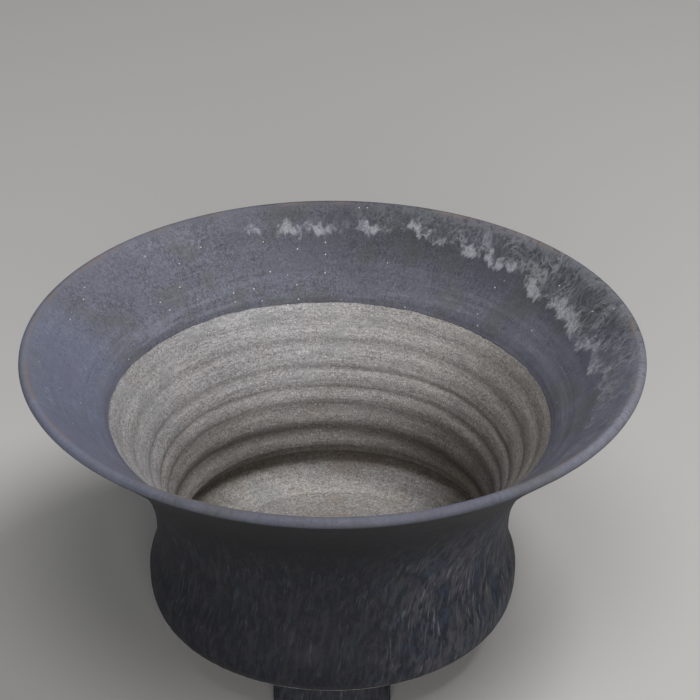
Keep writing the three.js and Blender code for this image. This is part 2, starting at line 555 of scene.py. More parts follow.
@dataclass(frozen=True)
class Weathering:
    """Where the pot has painted shade or light, dust, or combing.

    The bare clay has painted shade low down by the ledge, on both sides and most on the right, and
    a little painted light low on the left. The slip has painted shade by the lip at the back
    right.
    The speckle is strongest at the back left, and the comb's strokes, with painted light on the
    outside, on the right of the front.
    """

    # Painted shade on the bare clay inside the collar: darker low down by the ledge, on both sides
    # and most on the right; the last fade paints the left low down lighter.
    painted_shade: tuple[Fade, ...] = (
        Fade(0.30, ((8, 55),)),
        Fade(0.30, ((-8, -55),)),
        Fade(0.42, ((30, 72), (178, 120))),
        Fade(0.22, ((12, 50), (60, 30)), ((0.050, 0.058), (0.088, 0.066))),
        Fade(0.22, ((-12, -50),), ((0.050, 0.058), (0.088, 0.066))),
        Fade(0.38, (), ((0.070, 0.050),)),
        Fade(0.16, ((-10, 25), (60, 40)), ((0.070, 0.050),)),
        Fade(-0.34, ((-38, -60),), ((0.070, 0.050),)),
    )
    deepest_painted_shade: float = 0.9
    # Painted shade on the slip inside, at the back right and most by the lip.
    painted_flare_shade: tuple[Fade, ...] = (
        Fade(0.19, ((-45, 12), (108, 68))),
        Fade(0.81, ((-45, 12), (108, 68)), ((0.110, 0.132),)),
    )
    dusty_bearing: float = -30.0
    dusty_spread: float = 70.0
    # The comb's strokes, and painted light on the right side low down: strongest round a bearing
    # on the right, fading up the pot.
    combed_and_lit_bearing: float = 122.0
    combed_and_lit_spread: float = 38.0
    combed_and_lit_least: float = 0.22
    combed_and_lit_high: float = 0.85
    combed_and_lit_heights: Span = (0.062, 0.105)
    ring_swell: float = 0.00010
    scraped_swell: float = 0.00009
    scraped_lean: float = 4.4

    def painted_shade_inside(self, bearing: float, height: float) -> float:
        """Says how much painted shade the bare clay gets at a bearing, in radians, and a height.
        """
        return min(self.deepest_painted_shade, sum(fade.at(bearing, height) for fade in self.painted_shade))

    def painted_flare_shading(self, bearing: float, height: float) -> float:
        """Says how much painted shade the slip gets inside at a bearing, in radians, and a height.
        """
        return sum(fade.at(bearing, height) for fade in self.painted_flare_shade)

    def dusting(self, bearing: float) -> float:
        """Says how speckled the glaze is at a bearing, in radians."""
        off = math.degrees(bearing) - self.dusty_bearing
        return math.exp(-((off / self.dusty_spread) ** 2))

    def combing_and_painted_light(self, bearing: float, height: float) -> float:
        """Says how strong the comb's strokes, and the painted light on the right side, are
        outside.

        Args:
            bearing: Angle from the back, in radians.
            height: Height above the sole.

        Returns:
            A share from 0 to 1.
        """
        near = flat_bump(bearing, self.combed_and_lit_bearing, self.combed_and_lit_spread)
        around = self.combed_and_lit_least + (1 - self.combed_and_lit_least) * near
        return around * (1 - self.combed_and_lit_high * smooth_step(height, *self.combed_and_lit_heights))

    def outside_lift(self, bearing: float, height: float) -> float:
        """Gives the low swells of the scraped outside, alike on every piece that reaches it.

        Args:
            bearing: Angle from the back, in radians.
            height: Height above the sole.

        Returns:
            How far the surface stands proud.
        """
        rings = self.ring_swell * turned_noise(bearing, height, 1.2, 150)
        leaning = bearing + self.scraped_lean * height
        return rings + self.scraped_swell * turned_noise(leaning, height, 26, 70)


class Link:
    """A node's output that takes part in Python sums, each sum adding its Math node."""

    def __init__(self, sheet: "Sheet", socket: bpy.types.NodeSocket) -> None:
        """Keeps the socket and the sheet that it is drawn on."""
        self.sheet = sheet
        self.socket = socket

    def _sum(self, operation: str, first: "Link | float", second: "Link | float") -> "Link":
        """Adds one Math node."""
        return self.sheet.node("ShaderNodeMath", {"operation": operation}, {0: first, 1: second})

    def __add__(self, other: "Link | float") -> "Link":
        """Adds a number or link."""
        return self._sum("ADD", self, other)

    def __radd__(self, other: float) -> "Link":
        """Adds this to a number."""
        return self._sum("ADD", other, self)

    def __sub__(self, other: "Link | float") -> "Link":
        """Takes a number or link away."""
        return self._sum("SUBTRACT", self, other)

    def __rsub__(self, other: float) -> "Link":
        """Takes this away from a number."""
        return self._sum("SUBTRACT", other, self)

    def __mul__(self, other: "Link | float") -> "Link":
        """Multiplies by a number or link."""
        return self._sum("MULTIPLY", self, other)

    def __rmul__(self, other: float) -> "Link":
        """Multiplies a number by this."""
        return self._sum("MULTIPLY", other, self)

    def __abs__(self) -> "Link":
        """Gives the size without its sign."""
        return self._sum("ABSOLUTE", self, 0.0)

    def most(self, other: "Link | float") -> "Link":
        """Gives the larger of two."""
        return self._sum("MAXIMUM", self, other)

    def eased(self, none: float, full: float) -> "Link":
        """Eases from 0 at none to 1 at full, of which either may be the larger.

        Args:
            none: Where the result is 0.
            full: Where the result is 1.

        Returns:
            A link from 0 to 1.
        """
        settings = {"interpolation_type": "SMOOTHSTEP"}
        return self.sheet.node("ShaderNodeMapRange", settings, {0: self, 1: none, 2: full})


@dataclass(frozen=True)
class Layer:
    """A pattern's weight, and the stretch of its values that the weight is eased over."""

    weight: float
    none: float
    full: float

    def of(self, pattern: Link) -> Link:
        """Reads the layer from a pattern."""
        return self.weight * pattern.eased(self.none, self.full)


class Sheet:
    """One material's node tree, with the places and patterns that pots are finished by."""

    def __init__(self, name: str) -> None:
        """Starts an empty node material."""
        self.material = bpy.data.materials.new(name)
        self.material.use_nodes = True
        self.tree = self.material.node_tree
        self.tree.nodes.clear()
        self.place = self.node("ShaderNodeTexCoord", {}, {}, "Object")
        self.along = self.attribute("along")
        apart = self.add("ShaderNodeSeparateXYZ", {}, {0: self.place})
        self.x, self.y, self.z = (Link(self, output) for output in apart.outputs)

    def add(self, kind: str, settings: dict, sockets: dict) -> bpy.types.Node:
        """Adds a node of any kind.

        Args:
            kind: The node's type.
            settings: Its own settings.
            sockets: Numbers, colours, vectors or links for its inputs, by name or index.

        Returns:
            The node.
        """
        node = self.tree.nodes.new(kind)
        for name, setting in settings.items():
            setattr(node, name, setting)
        for name, given in sockets.items():
            if isinstance(given, Link):
                self.tree.links.new(given.socket, node.inputs[name])
            elif node.inputs[name].type == "RGBA":
                node.inputs[name].default_value = (*given, 1.0)
            else:
                node.inputs[name].default_value = given
        return node

    def node(self, kind: str, settings: dict, sockets: dict, output: int | str = 0) -> Link:
        """Adds a node of any kind and gives one of its outputs."""
        return Link(self, self.add(kind, settings, sockets).outputs[output])

    def attribute(self, name: str) -> Link:
        """Reads a number that each vertex carries."""
        return self.node("ShaderNodeAttribute", {"attribute_name": name}, {}, "Fac")

    def blend(self, first: "Link | Colour", second: "Link | Colour", share: "Link | float",
              how: str = "MIX") -> Link:
        """Mixes two colours.

        Args:
            first: The colour at a share of 0.
            second: The colour at a share of 1.
            share: How much of the second there is.
            how: The way that the second is laid on the first.

        Returns:
            The mixed colour.
        """
        settings = {"data_type": "RGBA", "blend_type": how}
        return self.node("ShaderNodeMix", settings, {0: share, 6: first, 7: second}, 2)

    def multiply_tint(self, colour: Link, tint: "Link | Colour", share: "Link | float") -> Link:
        """Multiplies a colour by a tint; here it paints shade, and light where the tint is above
        1.
        """
        return self.blend(colour, tint, share, "MULTIPLY")

    def over(self, colour: Link, *coats: tuple[Colour, Link]) -> Link:
        """Lays coats on a colour one after another, each a colour and how much of it there is."""
        for tint, share in coats:
            colour = self.blend(colour, tint, share)
        return colour

    def grain(self, size: float, detail: float = 3.0, rough: float = 0.6) -> Link:
        """Gives noise of a size in metres, the same in every direction.

        Args:
            size: The size of one swell.
            detail: How many finer layers lie on it.
            rough: How strong the finer layers are.

        Returns:
            Noise from 0 to 1.
        """
        sockets = {"Vector": self.place, "Scale": 1 / size, "Detail": detail, "Roughness": rough}
        return self.node("ShaderNodeTexNoise", {}, sockets)

    def turned(self, around: float, up: float, slant: float = 0.0, detail: float = 2.0,
               curl: float = 0.0) -> Link:
        """Gives noise that is stretched along or across the turning direction.

        Args:
            around: Swells for each radian round the pot.
            up: Swells for each metre along the outline.
            slant: Radians by which the pattern leans in each metre.
            detail: How many finer layers lie on it.
            curl: How far the swells are twisted into curls.

        Returns:
            Noise from 0 to 1.
        """
        angle = self.node("ShaderNodeMath", {"operation": "ARCTAN2"}, {0: self.y, 1: self.x})
        angle = angle + self.along * slant
        sockets = {
            0: self.node("ShaderNodeMath", {"operation": "COSINE"}, {0: angle}) * around,
            1: self.node("ShaderNodeMath", {"operation": "SINE"}, {0: angle}) * around,
            2: self.along * up,
        }
        vector = self.node("ShaderNodeCombineXYZ", {}, sockets)
        sockets = {"Vector": vector, "Scale": 1.0, "Detail": detail, "Roughness": 0.55,
                   "Distortion": curl}
        return self.node("ShaderNodeTexNoise", {}, sockets)

    def net(self, around: float, up: float, width: float, curl: float = 0.0) -> Link:
        """Draws thin branching lines, which are where a turned noise crosses its middle.

        Args:
            around: Meshes for each radian round the pot.
            up: Meshes for each metre along the outline.
            width: How wide the lines are, as a part of the noise's height.
            curl: How far the lines are twisted.

        Returns:
            A mask that is 1 along the lines.
        """
        off_middle = abs(self.turned(around, up, detail=2.5, curl=curl) - 0.5)
        return off_middle.eased(width, 0.0)

    def grains(self, size: float) -> Link:
        """Packs small grains side by side, each with a shade of its own.

        Args:
            size: The size of one grain.

        Returns:
            A shade from 0 to 1 that is even over each grain.
        """
        sockets = {"Vector": self.place, "Scale": 1 / size}
        chance = self.node("ShaderNodeTexVoronoi", {}, sockets, "Color")
        return self.node("ShaderNodeSeparateColor", {}, {0: chance})

    def specks(self, apart: float, radius: float, share: float) -> Link:
        """Scatters small round specks.

        Args:
            apart: Mean distance between the places where a speck may be.
            radius: A speck's radius.
            share: The part of those places that have a speck.

        Returns:
            A mask that is 1 on a speck.
        """
        sockets = {"Vector": self.place, "Scale": 1 / apart}
        distance = self.node("ShaderNodeTexVoronoi", {}, sockets, "Distance")
        chosen = self.grains(apart).eased(1 - share, 1.0)
        return distance.eased(radius / apart, 0.6 * radius / apart) * chosen.eased(0.0, 0.02)

    def coat(self, sockets: dict) -> bpy.types.Material:
        """Ends the sheet in a Principled shader.

        Args:
            sockets: What goes into the shader's sockets.

        Returns:
            The material.
        """
        shader = self.node("ShaderNodeBsdfPrincipled", {}, sockets)
        self.add("ShaderNodeOutputMaterial", {}, {"Surface": shader})
        return self.material

    def finish(self, surface: "Surface") -> bpy.types.Material:
        """Puts a surface on the material.

        Args:
            surface: Its colour, roughness and relief.

        Returns:
            The material.
        """
        normal = self.node("ShaderNodeBump", {}, {"Distance": 1.0, "Height": surface.relief})
        return self.coat({
            "Base Color": surface.colour,
            "Roughness": surface.roughness,
            "Normal": normal,
            "Specular IOR Level": 0.32,
        })


@dataclass(frozen=True)
class Surface:
    """What a finish gives to the shader: colour, roughness, and relief in metres."""

    colour: Link
    roughness: Link
    relief: Link


@dataclass(frozen=True)
class BloomVeil:
    """The look of the bloom: puffs that hang at its tips, and branching frost above them.

    Places are metres above the ragged line of the tips, and the flakes' from the lip's
    outermost line.
    """

    colour: Colour = (0.37, 0.38, 0.42)
    lobe_depth: float = 0.012
    tip_depth: float = 0.006
    puff_foot: Span = (-0.0018, 0.0022)
    puff_top: Span = (0.0092, 0.0024)
    puff_squeeze: float = 1.35
    puff_stretch: float = 23.0
    puff_power: float = 1.20
    clump_power: float = 2.1
    puff_body: Span = (0.32, 1.12)
    frost_foot: Span = (0.001, 0.006)
    vein_strength: float = 0.62
    flake_strength: float = 0.38
    flake_row: Span = (-0.0121, -0.0061)

    def mask(self, sheet: Sheet, from_lip: Link) -> Link:
        """Draws where the bloom lies.

        Args:
            sheet: The material's sheet.
            from_lip: Distance from the lip's outermost line, below 0 inside.

        Returns:
            A mask that is 1 where the bloom is thick.
        """
        lobes = sheet.turned(17, 30, curl=0.4) - 0.5
        tips = sheet.turned(50, 120, detail=4.0, curl=0.8) - 0.5
        rise = sheet.attribute("bloom_drop") + lobes * self.lobe_depth + tips * self.tip_depth
        powder = sheet.grain(0.0010, 3.0, 0.9).eased(0.38, 0.62)
        puffs = self._puffs(sheet, rise, from_lip) * (0.50 + 0.50 * powder)
        return puffs.most(self._frost(sheet, rise, from_lip) * (0.60 + 0.40 * powder))

    def _puffs(self, sheet: Sheet, rise: Link, from_lip: Link) -> Link:
        """Draws the puffs, which are taller where their tips hang deeper."""
        depth = sheet.attribute("bloom_drop") - from_lip
        thinning = rise * (self.puff_squeeze - self.puff_stretch * depth)
        hanging = rise.eased(*self.puff_foot) * thinning.eased(*self.puff_top)
        clumps = (sheet.turned(34, 260, detail=5.0, curl=0.9) - 0.5) * self.clump_power
        body = hanging * sheet.attribute("bloom_power") * self.puff_power + clumps
        return body.eased(*self.puff_body) * hanging.eased(0.0, 0.4)

    def _frost(self, sheet: Sheet, rise: Link, from_lip: Link) -> Link:
        """Draws the branching frost above the tips, and a row of flakes close under the lip."""
        branches = sheet.net(15, 80, 0.085, 1.5).most(0.5 * sheet.net(36, 190, 0.10, 1.2))
        patchy = sheet.turned(9, 70, detail=3.0).eased(0.38, 0.62)
        under_lip = from_lip.eased(*self.flake_row)
        flakes = sheet.turned(52, 300, detail=4.0, curl=0.9) - 0.5
        row = (under_lip * 0.75 + flakes * 1.8).eased(0.42, 0.80) * under_lip.eased(0.0, 0.2)
        veins = self.vein_strength * branches * (0.30 + 0.70 * patchy)
        frost = veins.most(self.flake_strength * row)
        return rise.eased(*self.frost_foot) * sheet.attribute("bloom_frost") * frost


@dataclass(frozen=True)
class CombStrokes:
    """The leaning strokes of a coarse comb on the outside, on smears of blue and plum, which also
    paint the right side lighter as painted light.
    """

    blue: Colour = (0.034, 0.045, 0.078)
    plum: Colour = (0.064, 0.053, 0.078)
    smear: Colour = (0.108, 0.108, 0.118)
    stroke: Colour = (0.235, 0.250, 0.275)
    # Where painted light brightens the smears, along X.
    painted_light_right_edge: Span = (0.058, 0.078)

    def strokes(self, sheet: Sheet, combing_and_painted_light: Link) -> Link:
        """Draws the strokes, in patches."""
        strokes = sheet.turned(88, 150, slant=2.0, detail=3.0, curl=0.4).eased(0.52, 0.72)
        patchy = sheet.turned(11, 80, detail=3.0).eased(0.42, 0.64)
        return combing_and_painted_light * strokes * (0.12 + 0.88 * patchy)

    def coloured(self, sheet: Sheet, colour: Link, combing_and_painted_light: Link, strokes: Link) -> Link:
        """Lays the colours of the combed outside on a colour.

        Args:
            sheet: The material's sheet.
            colour: The colour before.
            combing_and_painted_light: How strong the comb's marks and the painted light on the
                right are.
            strokes: The mask of the strokes.

        Returns:
            The colour with the marks.
        """
        hue = sheet.grain(0.010, 4.0, 0.7)
        smears = sheet.turned(30, 110, slant=1.6, detail=5.0, curl=0.7).eased(0.42, 0.66)
        return sheet.over(
            colour,
            (self.blue, combing_and_painted_light * (0.35 + 0.50 * hue.eased(0.50, 0.60))),
            (self.plum, 0.60 * combing_and_painted_light * hue.eased(0.50, 0.40)),
            # Painted light: the smears grow brighter towards the right edge.
            (self.smear, combing_and_painted_light * smears * (0.60 + 0.35 * sheet.x.eased(*self.painted_light_right_edge))),
            (self.stroke, 0.72 * strokes),
        )


@dataclass(frozen=True)
class SlipMap:
    """Where a point of the slip lies, and the patterns that several of its layers share."""

    from_lip: Link
    outside: Link
    on_lip: Link
    side: Link
    # The painted shade on the flare.
    painted_flare_shade: Link
    mottle: Link
    hairs: Link
    rings: Link


@dataclass(frozen=True)
class DarkSlip:
    """Matte blue-black slip glaze, brushed by hand and bloomed under the lip.

    The spans are metres: past_lip and onto_lip from the lip's outermost line, low_flare and
    dark_edge from the glaze's edge, and the others along X or Y.
    """

    lip_along: float
    veil: BloomVeil = BloomVeil()
    comb: CombStrokes = CombStrokes()
    deep: Colour = (0.060, 0.062, 0.081)
    pale: Colour = (0.182, 0.190, 0.240)
    violet: Colour = (0.132, 0.128, 0.172)
    olive: Colour = (0.110, 0.110, 0.104)
    edge: Colour = (0.050, 0.044, 0.056)
    # Tint of the painted shade on the flare.
    painted_flare_shade: Colour = (0.44, 0.44, 0.43)
    # Colour of the painted sky reflection.
    painted_sky_reflection: Colour = (0.170, 0.195, 0.310)
    # Tint of the painted shade on the front of the lip.
    painted_lip_shade: Colour = (0.72, 0.73, 0.76)
    shade: Colour = (0.0050, 0.0050, 0.0062)
    shade_behind: Colour = (0.020, 0.0205, 0.026)
    thin_edge: Colour = (0.190, 0.145, 0.122)
    speck: Colour = (0.62, 0.61, 0.60)
    mottling: Layer = Layer(0.26, 0.34, 0.66)
    dust: Layer = Layer(0.34, 0.34, 0.66)
    clouds: Layer = Layer(0.22, 0.30, 0.70)
    hair_lines: Layer = Layer(0.14, 0.35, 0.65)
    ring_lines: Layer = Layer(0.12, 0.35, 0.65)
    low_rings: Layer = Layer(0.25, 0.50, 0.66)
    violet_clouds: Layer = Layer(0.45, 0.50, 0.62)
    olive_clouds: Layer = Layer(0.45, 0.50, 0.38)
    past_lip: Span = (-0.0004, 0.0030)
    onto_lip: Span = (-0.0071, -0.0051)
    rubbed_line: float = -0.00448
    rubbed_width: Span = (0.0013, 0.0003)
    low_flare: Span = (0.022, 0.010)
    dark_edge: Span = (0.0042, 0.0018)
    # Where the painted sky reflection lies, along X and then Y.
    painted_reflection_across: Span = (-0.055, -0.105)
    painted_reflection_back: Span = (0.055, 0.015)
    near_lip: Span = (-0.070, -0.118)
    behind: Span = (0.0, 0.07)

    def _map(self, sheet: Sheet) -> SlipMap:
        """Draws the masks and patterns that the layers share."""
        from_lip = sheet.along - self.lip_along
        return SlipMap(
            from_lip=from_lip,
            outside=from_lip.eased(*self.past_lip),
            on_lip=from_lip.eased(*self.onto_lip),
            side=sheet.attribute("glaze_side"),
            painted_flare_shade=sheet.attribute("painted_flare_shade"),
            mottle=sheet.grain(0.0017, 4.0, 0.75),
            hairs=sheet.turned(150, 130, detail=3.0),
            rings=sheet.turned(2.6, 480, detail=3.0),
        )

    def _ground(self, sheet: Sheet, at: SlipMap) -> Link:
        """Draws the slip's own speckled and clouded colour."""
        speckle = self.mottling.of(at.mottle) + self.dust.of(sheet.grain(0.0008, 2.0, 0.8)) - 0.30
        speckle = speckle * (0.75 + 1.25 * sheet.attribute("dusting")) * (1 - 0.7 * at.on_lip)
        tone = 0.30 + speckle + self.clouds.of(sheet.grain(0.012, 4.0))
        tone = tone + self.hair_lines.of(at.hairs) + self.ring_lines.of(at.rings)
        low_flare = at.side.eased(*self.low_flare) * (1 - at.outside)
        tone = tone + low_flare * self.low_rings.of(at.rings)
        broad = sheet.grain(0.026, 3.0)
        return sheet.over(
            sheet.blend(self.deep, self.pale, tone),
            (self.violet, self.violet_clouds.of(broad)),
            (self.olive, self.olive_clouds.of(broad)),
        )

    def _shaded(self, sheet: Sheet, at: SlipMap, colour: Link) -> Link:
        """Paints shade on the flare at the back right, a sky reflection far left, shade on the
        front of the lip, and shade on the outside.
        """
        # Painted shade on the flare at the back right, by the lip.
        colour = sheet.multiply_tint(colour, self.painted_flare_shade, at.painted_flare_shade)
        # Painted reflection: a blue sky reflection on the slip far to the left.
        far_left = sheet.x.eased(*self.painted_reflection_across) * sheet.y.eased(*self.painted_reflection_back)
        colour = sheet.blend(colour, self.painted_sky_reflection, 0.30 * far_left)
        # Painted shade on the front of the lip.
        near_lip = at.on_lip * sheet.y.eased(*self.near_lip)
        colour = sheet.multiply_tint(colour, self.painted_lip_shade, near_lip)
        shade = sheet.blend(self.shade, self.shade_behind, sheet.y.eased(*self.behind))
        return sheet.blend(colour, shade, 0.95 * at.outside)

    def _worn(self, sheet: Sheet, at: SlipMap, colour: Link) -> Link:
        """Adds the dark edge above the clay, the rubbed line on the lip and the pale specks."""
        rubbed = abs(at.from_lip - self.rubbed_line).eased(*self.rubbed_width)
        rubbed = rubbed * sheet.turned(5, 1).eased(0.42, 0.60)
        specks = sheet.specks(0.0040, 0.00042, 0.34) * (1 - at.outside) * (1 - at.on_lip)
        return sheet.over(
            colour,
            # The dark edge above the clay is stronger where the flare has painted shade.
            (self.edge, (0.32 + 0.33 * at.painted_flare_shade) * at.side.eased(*self.dark_edge)),
            (self.thin_edge, 0.55 * rubbed),
            (self.speck, 0.85 * specks),
        )

    def surface(self, sheet: Sheet) -> Surface:
        """Draws the glaze on a sheet.

        Args:
            sheet: The material's sheet.

        Returns:
            The surface of the glaze.
        """
        at = self._map(sheet)
        colour = self._shaded(sheet, at, self._ground(sheet, at))
        # The comb's strokes, with painted light on the right side of the outside.
        combing_and_painted_light = sheet.attribute("combing_and_painted_light") * at.outside
        strokes = self.comb.strokes(sheet, combing_and_painted_light)
        colour = self.comb.coloured(sheet, colour, combing_and_painted_light, strokes)
        bloomed = self.veil.mask(sheet, at.from_lip) * (1 - at.outside)
        colour = sheet.blend(colour, self.veil.colour, 0.88 * bloomed)
        colour = self._worn(sheet, at, colour)
        roughness = 0.62 + 0.16 * at.mottle + 0.12 * bloomed
        relief = 0.00007 * at.mottle + 0.00004 * at.hairs + 0.00006 * strokes
        return Surface(colour, roughness, relief + 0.00004 * at.rings + 0.00004 * bloomed)


@dataclass(frozen=True)
class BareClay:
    """Unglazed coarse stoneware: warm grey, with sand grains, pits and fine turning lines. Painted
    shade darkens its grooves and pits and where the vertices carry it, and painted light lifts the
    upper left.

    The spans are metres of height, but the one across is metres along X.
    """

    dark: Colour = (0.158, 0.151, 0.148)
    light: Colour = (0.645, 0.624, 0.612)
    rust: Colour = (0.290, 0.232, 0.180)
    cool: Colour = (0.270, 0.280, 0.276)
    groove: Colour = (0.095, 0.083, 0.072)
    sand: Colour = (0.90, 0.88, 0.85)
    grog: Colour = (0.300, 0.200, 0.135)
    # Tint of the painted shade.
    painted_shade: Colour = (0.44, 0.405, 0.365)
    # Tint of the painted light on the upper left.
    painted_light_tint: Colour = (1.08, 1.10, 1.16)
    fine_tone: Layer = Layer(0.36, 0.42, 0.74)
    line_tone: Layer = Layer(0.14, 0.35, 0.65)
    dash_tone: Layer = Layer(0.14, 0.38, 0.64)
    broad_tone: Layer = Layer(0.08, 0.30, 0.70)
    cool_patches: Layer = Layer(0.40, 0.50, 0.34)
    floor_height: Span = (0.034, 0.026)
    rust_height: Span = (0.085, 0.045)
    painted_light_height: Span = (0.062, 0.085)
    painted_light_across: Span = (0.050, -0.060)

    def surface(self, sheet: Sheet) -> Surface:
        """Draws the bare clay on a sheet.

        Args:
            sheet: The material's sheet.

        Returns:
            The surface of the clay.
        """
        coarse = sheet.grain(0.0013, 3.0, 0.8)
        fine = sheet.grain(0.00055, 1.0, 0.7)
        sandy = sheet.grains(0.00062)
        patches = sheet.grain(0.016, 3.0)
        lines = sheet.turned(4.0, 950, detail=3.0)
        dashes = sheet.turned(26, 1100)
        pits = sheet.specks(0.0024, 0.00040, 0.4)

        on_floor = sheet.z.eased(*self.floor_height)
        tone = (0.25 + 0.15 * on_floor) * coarse.eased(0.36, 0.70)
        tone = tone + self.fine_tone.of(fine) + 0.24 * sandy
        tone = tone + self.line_tone.of(lines) + self.dash_tone.of(dashes)
        tone = tone + self.broad_tone.of(sheet.grain(0.028, 3.0)) - 0.12 - 0.06 * on_floor
        rusty = 0.10 + 0.25 * sheet.z.eased(*self.rust_height)
        colour = sheet.over(
            sheet.blend(self.dark, self.light, tone),
            (self.rust, patches.eased(0.48, 0.7) * rusty),
            (self.cool, self.cool_patches.of(patches)),
            # Painted shade: the turning grooves and the pits are darkened with the groove colour.
            (self.groove, 0.50 * sheet.attribute("groove")),
            (self.groove, 0.35 * pits),
            (self.grog, 0.35 * sheet.specks(0.0040, 0.00060, 0.30)),
            (self.sand, 0.68 * sheet.specks(0.0019, 0.00030, 0.40)),
        )
        # Painted shade where the vertices carry it: under the ledge, on the sides and low down.
        colour = sheet.multiply_tint(colour, self.painted_shade, sheet.attribute("painted_shade"))
        # Painted light: the upper wall on the left is lightened and tinted blue.
        painted_light_share = sheet.x.eased(*self.painted_light_across) * sheet.z.eased(*self.painted_light_height)
        colour = sheet.multiply_tint(colour, self.painted_light_tint, painted_light_share)

        relief = 0.00022 * coarse + 0.00010 * fine + 0.00010 * lines + 0.00008 * dashes
        relief = relief + 0.00006 * sandy - 0.00012 * pits
        return Surface(colour, 0.88 + 0.1 * fine, relief)


@dataclass(frozen=True)
class SlipOverClay:
    """Slip glaze on clay, with the clay bare wherever the glaze was kept off or wiped away."""

    slip: DarkSlip
    clay: BareClay = BareClay()
    ragged: float = 0.0008
    edge: Span = (-0.00012, 0.00012)

    def material(self) -> bpy.types.Material:
        """Makes the material, which reads the glaze's edge from the vertices.

        Returns:
            The material.
        """
        sheet = Sheet("slip_over_clay")
        slip = self.slip.surface(sheet)
        clay = self.clay.surface(sheet)
        side = sheet.attribute("glaze_side") + (sheet.grain(0.0012) - 0.5) * self.ragged
        glazed = side.eased(*self.edge)
        bare = 1 - glazed
        return sheet.finish(Surface(
            sheet.blend(clay.colour, slip.colour, glazed),
            clay.roughness * bare + slip.roughness * glazed,
            clay.relief * bare + slip.relief * glazed,
        ))


@dataclass(frozen=True)
class ClayOnly:
    """Bare clay on the coils, which no glaze reaches, made paler as painted light on their faces.
    """

    # Painted light: paler clay so that the coils' faces read brighter.
    clay: BareClay = BareClay(dark=(0.205, 0.196, 0.190), light=(0.78, 0.755, 0.735))

    def material(self) -> bpy.types.Material:
        """Makes the material."""
        sheet = Sheet("bare_stoneware")
        return sheet.finish(self.clay.surface(sheet))


@dataclass(frozen=True)
class PotShape:
    """The smooth shape of the pot, inside and outside, that the pieces are cut from."""

    levels: Levels
    neck_radius: float = 0.0758
    neck_rise: float = 0.0065
    neck_pull: float = 0.0130
    bulge_rise: float = 0.0155
    bulge_pull: float = 0.0060
    heel_pull: float = 0.007
    heel_drop: float = 0.011
    outer_flare_pull: float = 0.0330
    outer_lip_pull: float = 0.0450
    throat_wall: float = 0.0087
    throat_rise: float = 0.004
    throat_pull: float = 0.030
    inner_lip_pull: float = 0.052
    lip_thickness: float = 0.0046
    lip_angle: float = 43.0
    lip_steps: int = 12
    glaze_height: float = 0.1060
    drum_wall: float = 0.0062

    @property
    def lip_centre(self) -> Vector:
        """The middle of the round lip."""
        inset = self.lip_thickness / 2
        return Vector((self.levels.rim_radius - inset, self.levels.rim_top - inset))

    def _lip_meeting(self, side: float) -> Vector:
        """Where the wall meets the round lip, inside for +1 and outside for -1."""
        return self.lip_centre + polar(self.lip_thickness / 2, self.lip_angle + 90 * side)

    def outside(self) -> list[Vector]:
        """Gives the whole outside.

        Returns:
            Fine points that rise from the slab's underside to the lip.
        """
        levels = self.levels
        heel = Vector((levels.heel_radius, levels.slab_under))
        bulge = Vector((levels.bulge_radius, levels.slab_under + self.bulge_rise))
        neck = Vector((self.neck_radius, levels.seam + self.neck_rise))
        lip = self._lip_meeting(-1)
        heel_curve = cubic(
            heel, heel + Vector((self.heel_pull, 0)), bulge - Vector((0, self.heel_drop)), bulge)
        shoulder = cubic(
            bulge, bulge + Vector((0, self.bulge_pull)), neck - Vector((0, self.neck_pull)), neck)
        flare = cubic(
            neck, neck + Vector((0, self.outer_flare_pull)),
            lip - polar(self.outer_lip_pull, self.lip_angle), lip)
        return [*heel_curve, *shoulder[1:], *flare[1:]]

    def drum_inside(self, height: float) -> float:
        """Gives the radius of the drum's inner face at a height."""
        return between([(p.y, p.x) for p in self.outside()], height) - self.drum_wall

    def inside(self) -> list[Vector]:
        """Gives the inside of the collar without its ridges.

        Returns:
            Fine points that rise from the throat to the lip.
        """
        throat_radius = self.neck_radius - self.throat_wall
        throat = Vector((throat_radius, self.levels.seam + self.throat_rise))
        lip = self._lip_meeting(1)
        return cubic(
            throat, throat + Vector((0, self.throat_pull)),
            lip - polar(self.inner_lip_pull, self.lip_angle), lip)

    def bead(self) -> list[Vector]:
        """Gives the round lip, from the outside over to the inside."""
        return arc(self.lip_centre, self.lip_thickness / 2,
                   self.lip_angle - 90, self.lip_angle + 90, self.lip_steps)

    def lip_along(self) -> float:
        """Measures from the glaze's edge inside up to where the lip's bead begins."""
        _, glazed = cut_at(self.inside(), self.glaze_height)
        return length_of(glazed)

    def along_outside(self, height: float) -> float:
        """Measures from the glaze's edge inside, over the lip, down the outside to a height."""
        _, upper = cut_at(self.outside(), height)
        return self.lip_along() + math.pi * self.lip_thickness / 2 + length_of(upper)

    def along_lip_edge(self) -> float:
        """Measures from the glaze's edge inside to the outermost line of the lip."""
        return self.lip_along() + math.radians(90 + self.lip_angle) * self.lip_thickness / 2


TURNED_LAYERS = ("along", "lean_out", "lean_up", "skin", "corner")
MESH_ONLY = TURNED_LAYERS[1:]
MARK_LAYERS = (
    "glaze_side", "groove", "painted_shade", "painted_flare_shade", "dusting", "combing_and_painted_light",
    "bloom_power", "bloom_drop", "bloom_frost",
)


def placed(name: str, data: bpy.types.ID) -> bpy.types.Object:
    """Puts a new object into the scene, at the origin.

    Args:
        name: The object's name.
        data: Its mesh, light or camera.

    Returns:
        The object.
    """
    thing = bpy.data.objects.new(name, data)
    bpy.context.scene.collection.objects.link(thing)
    return thing


